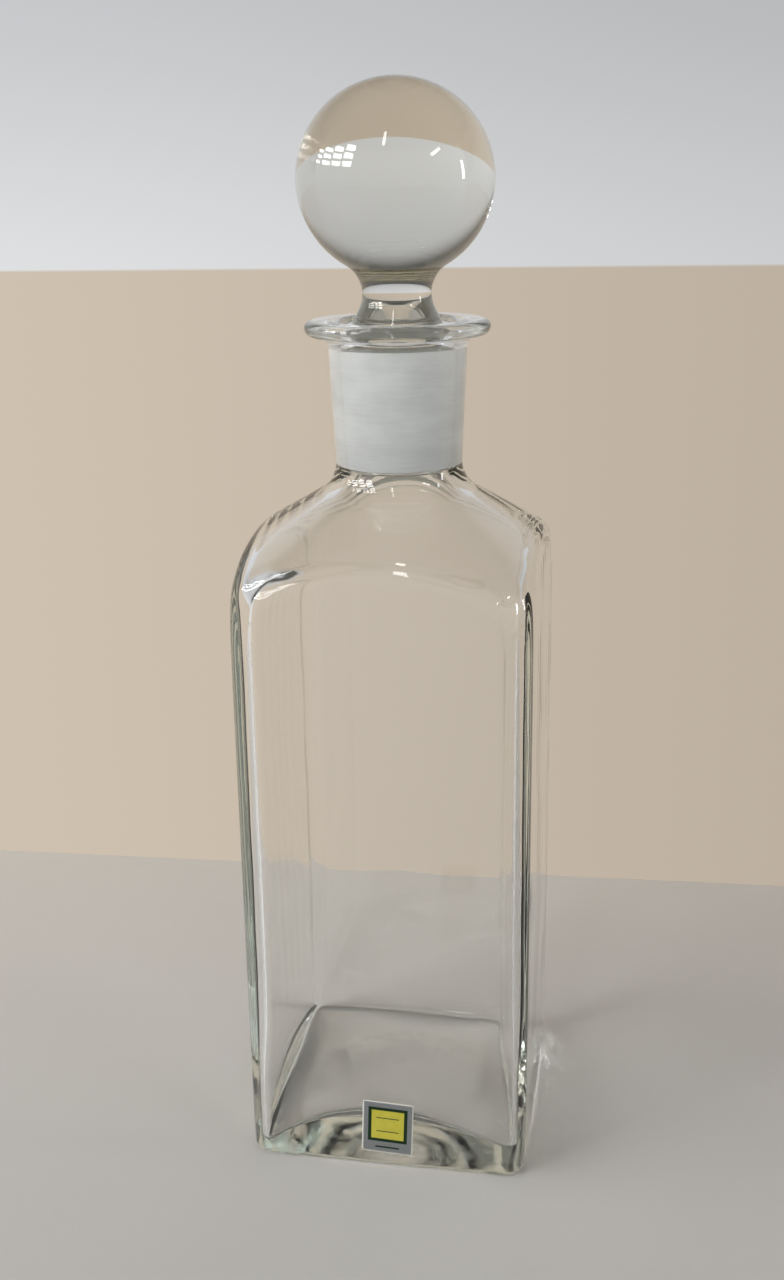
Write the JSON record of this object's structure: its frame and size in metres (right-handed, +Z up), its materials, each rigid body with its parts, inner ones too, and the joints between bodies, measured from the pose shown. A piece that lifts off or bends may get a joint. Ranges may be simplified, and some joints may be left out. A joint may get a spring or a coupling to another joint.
{
  "type": "square glass decanter with ball stopper",
  "caption": "Tall square clear glass decanter with an arched shoulder, a round neck with a flared lip, a solid glass ball stopper and a small foil label.",
  "frame": {"origin": "middle of the base, on the surface that the decanter stands on", "axes": "+Z up along the neck and stopper, the side with the label faces -Y, +X to the right seen from the front"},
  "size_m": [0.0836, 0.0837, 0.3095],
  "materials": {
    "bottle_glass": "clear polished glass with a faint grey-green tint, ground inside the neck",
    "stopper_glass": "clear polished solid glass with a ground plug",
    "label_foil": "satin silver-grey printed foil"
  },
  "bodies": {
    "vessel": {"bottle": "bottle_glass", "label": "label_foil"},
    "stopper": {"stopper": "stopper_glass"}
  },
  "joints": [
    {"name": "stopper_lift", "type": "slide", "parent": "vessel", "child": "stopper", "axis": [0, 0, 1], "range_m": [0, 0.052]}
  ]
}
